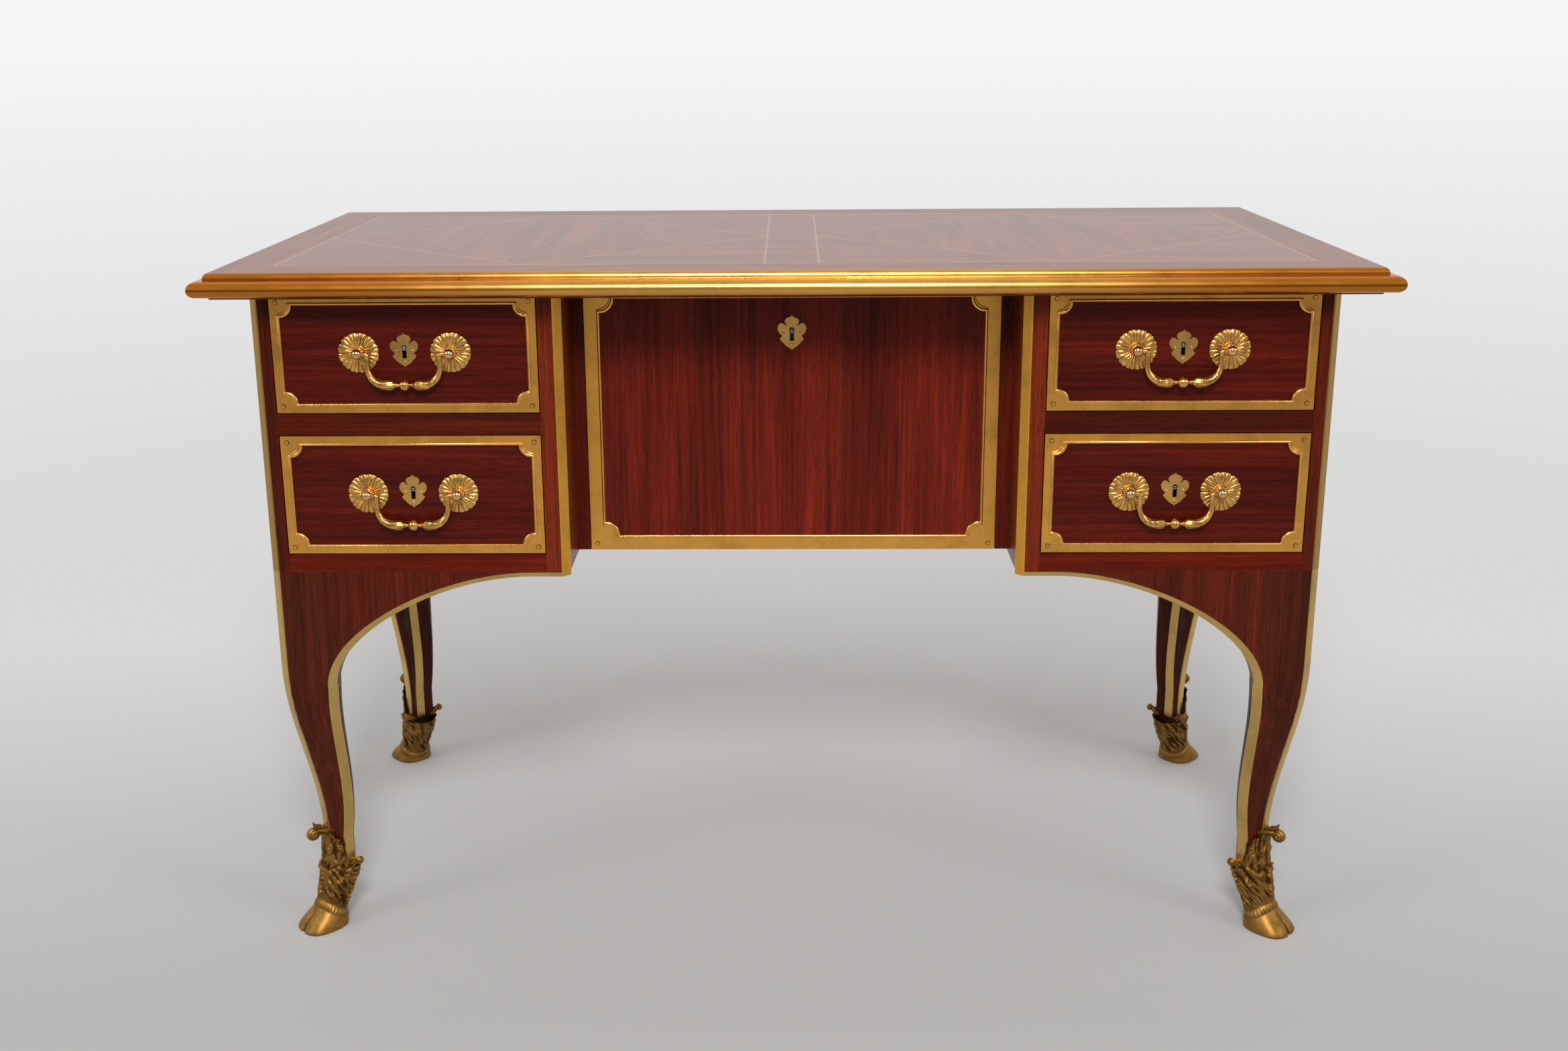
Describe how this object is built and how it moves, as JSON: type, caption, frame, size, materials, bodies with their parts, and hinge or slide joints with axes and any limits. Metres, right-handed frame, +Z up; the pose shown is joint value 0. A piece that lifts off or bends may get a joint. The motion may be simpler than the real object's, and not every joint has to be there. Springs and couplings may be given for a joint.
{
  "type": "money changers desk",
  "caption": "Kneehole desk on cabriole legs with brass-framed drawers, a recessed fall-front, bail handles and gilt hoof feet.",
  "frame": {"origin": "on the floor, under the middle of the desk", "axes": "+X to the sitter's right, +Y from the drawers to the back, +Z up"},
  "size_m": [1.227, 0.608, 0.77],
  "materials": {
    "case_veneer": "polished dark red mahogany veneer",
    "leg_veneer": "polished dark red mahogany veneer, fine upright grain",
    "rail_veneer": "polished dark red mahogany veneer, grain along the rail",
    "drawer_veneer": "polished ribbon mahogany veneer",
    "fall_veneer": "polished mahogany veneer in upright strips",
    "top_veneer": "polished mahogany parquetry with light stringing",
    "oak": "plain oiled oak",
    "moulding_brass": "polished, mellow",
    "frame_brass": "satin",
    "strip_brass": "satin",
    "fitting_brass": "gilt, worn",
    "gilt_bronze": "antique gilt, dark in the hollows",
    "lock_steel": "dull grey"
  },
  "bodies": {
    "carcass": {"corner_posts": "case_veneer", "side_panel_left": "case_veneer", "side_panel_right": "case_veneer", "back_panel": "case_veneer", "cheek_left": "case_veneer", "cheek_right": "case_veneer", "aprons": "case_veneer", "door_jambs": "case_veneer", "top_board": "top_veneer", "drawer_dividers": "rail_veneer", "pedestal_floors": "rail_veneer", "compartment_floor": "oak", "leg_front_left": "leg_veneer", "sabot_front_left": "gilt_bronze", "leg_front_right": "leg_veneer", "sabot_front_right": "gilt_bronze", "leg_back_left": "leg_veneer", "sabot_back_left": "gilt_bronze", "leg_back_right": "leg_veneer", "sabot_back_right": "gilt_bronze", "top_moulding": "moulding_brass", "corner_strips": "strip_brass", "leg_strips": "strip_brass", "apron_edging": "strip_brass", "pivot_bushes": "fitting_brass"},
    "drawer_lower_left": {"drawer_front_lower_left": "drawer_veneer", "drawer_box_lower_left": "oak", "drawer_frame_lower_left": "frame_brass", "drawer_mounts_lower_left": "fitting_brass", "drawer_lock_lower_left": "lock_steel"},
    "bail_lower_left": {"bail_lower_left": "fitting_brass"},
    "bolt_lower_left": {"drawer_bolt_lower_left": "lock_steel"},
    "drawer_lower_right": {"drawer_front_lower_right": "drawer_veneer", "drawer_box_lower_right": "oak", "drawer_frame_lower_right": "frame_brass", "drawer_mounts_lower_right": "fitting_brass", "drawer_lock_lower_right": "lock_steel"},
    "bail_lower_right": {"bail_lower_right": "fitting_brass"},
    "bolt_lower_right": {"drawer_bolt_lower_right": "lock_steel"},
    "drawer_upper_left": {"drawer_front_upper_left": "drawer_veneer", "drawer_box_upper_left": "oak", "drawer_frame_upper_left": "frame_brass", "drawer_mounts_upper_left": "fitting_brass", "drawer_lock_upper_left": "lock_steel"},
    "bail_upper_left": {"bail_upper_left": "fitting_brass"},
    "bolt_upper_left": {"drawer_bolt_upper_left": "lock_steel"},
    "drawer_upper_right": {"drawer_front_upper_right": "drawer_veneer", "drawer_box_upper_right": "oak", "drawer_frame_upper_right": "frame_brass", "drawer_mounts_upper_right": "fitting_brass", "drawer_lock_upper_right": "lock_steel"},
    "bail_upper_right": {"bail_upper_right": "fitting_brass"},
    "bolt_upper_right": {"drawer_bolt_upper_right": "lock_steel"},
    "fall_front": {"fall_panel": "fall_veneer", "fall_pivots": "fitting_brass", "fall_frame": "frame_brass", "fall_escutcheon": "frame_brass", "fall_lock": "lock_steel"},
    "bolt_fall": {"fall_bolt": "lock_steel"}
  },
  "joints": [
    {"name": "drawer_lower_left_slide", "type": "slide", "parent": "carcass", "child": "drawer_lower_left", "axis": [0, -1, 0], "range_m": [0, 0.34]},
    {"name": "bail_lower_left_swing", "type": "hinge", "parent": "drawer_lower_left", "child": "bail_lower_left", "pos_m": [-0.4065, -0.2625, 0.52755], "axis": [-1, 0, 0], "range_deg": [0, 120]},
    {"name": "bolt_lower_left_throw", "type": "slide", "parent": "drawer_lower_left", "child": "bolt_lower_left", "axis": [0, 0, 1], "range_m": [0, 0.008]},
    {"name": "drawer_lower_right_slide", "type": "slide", "parent": "carcass", "child": "drawer_lower_right", "axis": [0, -1, 0], "range_m": [0, 0.34]},
    {"name": "bail_lower_right_swing", "type": "hinge", "parent": "drawer_lower_right", "child": "bail_lower_right", "pos_m": [0.4065, -0.2625, 0.52755], "axis": [-1, 0, 0], "range_deg": [0, 120]},
    {"name": "bolt_lower_right_throw", "type": "slide", "parent": "drawer_lower_right", "child": "bolt_lower_right", "axis": [0, 0, 1], "range_m": [0, 0.008]},
    {"name": "drawer_upper_left_slide", "type": "slide", "parent": "carcass", "child": "drawer_upper_left", "axis": [0, -1, 0], "range_m": [0, 0.34]},
    {"name": "bail_upper_left_swing", "type": "hinge", "parent": "drawer_upper_left", "child": "bail_upper_left", "pos_m": [-0.4065, -0.2625, 0.68105], "axis": [-1, 0, 0], "range_deg": [0, 120]},
    {"name": "bolt_upper_left_throw", "type": "slide", "parent": "drawer_upper_left", "child": "bolt_upper_left", "axis": [0, 0, 1], "range_m": [0, 0.008]},
    {"name": "drawer_upper_right_slide", "type": "slide", "parent": "carcass", "child": "drawer_upper_right", "axis": [0, -1, 0], "range_m": [0, 0.34]},
    {"name": "bail_upper_right_swing", "type": "hinge", "parent": "drawer_upper_right", "child": "bail_upper_right", "pos_m": [0.4065, -0.2625, 0.68105], "axis": [-1, 0, 0], "range_deg": [0, 120]},
    {"name": "bolt_upper_right_throw", "type": "slide", "parent": "drawer_upper_right", "child": "bolt_upper_right", "axis": [0, 0, 1], "range_m": [0, 0.008]},
    {"name": "fall_front_hinge", "type": "hinge", "parent": "carcass", "child": "fall_front", "pos_m": [0, -0.166, 0.453], "axis": [1, 0, 0], "range_deg": [0, 90]},
    {"name": "bolt_fall_throw", "type": "slide", "parent": "fall_front", "child": "bolt_fall", "axis": [0, 0, 1], "range_m": [0, 0.008]}
  ]
}
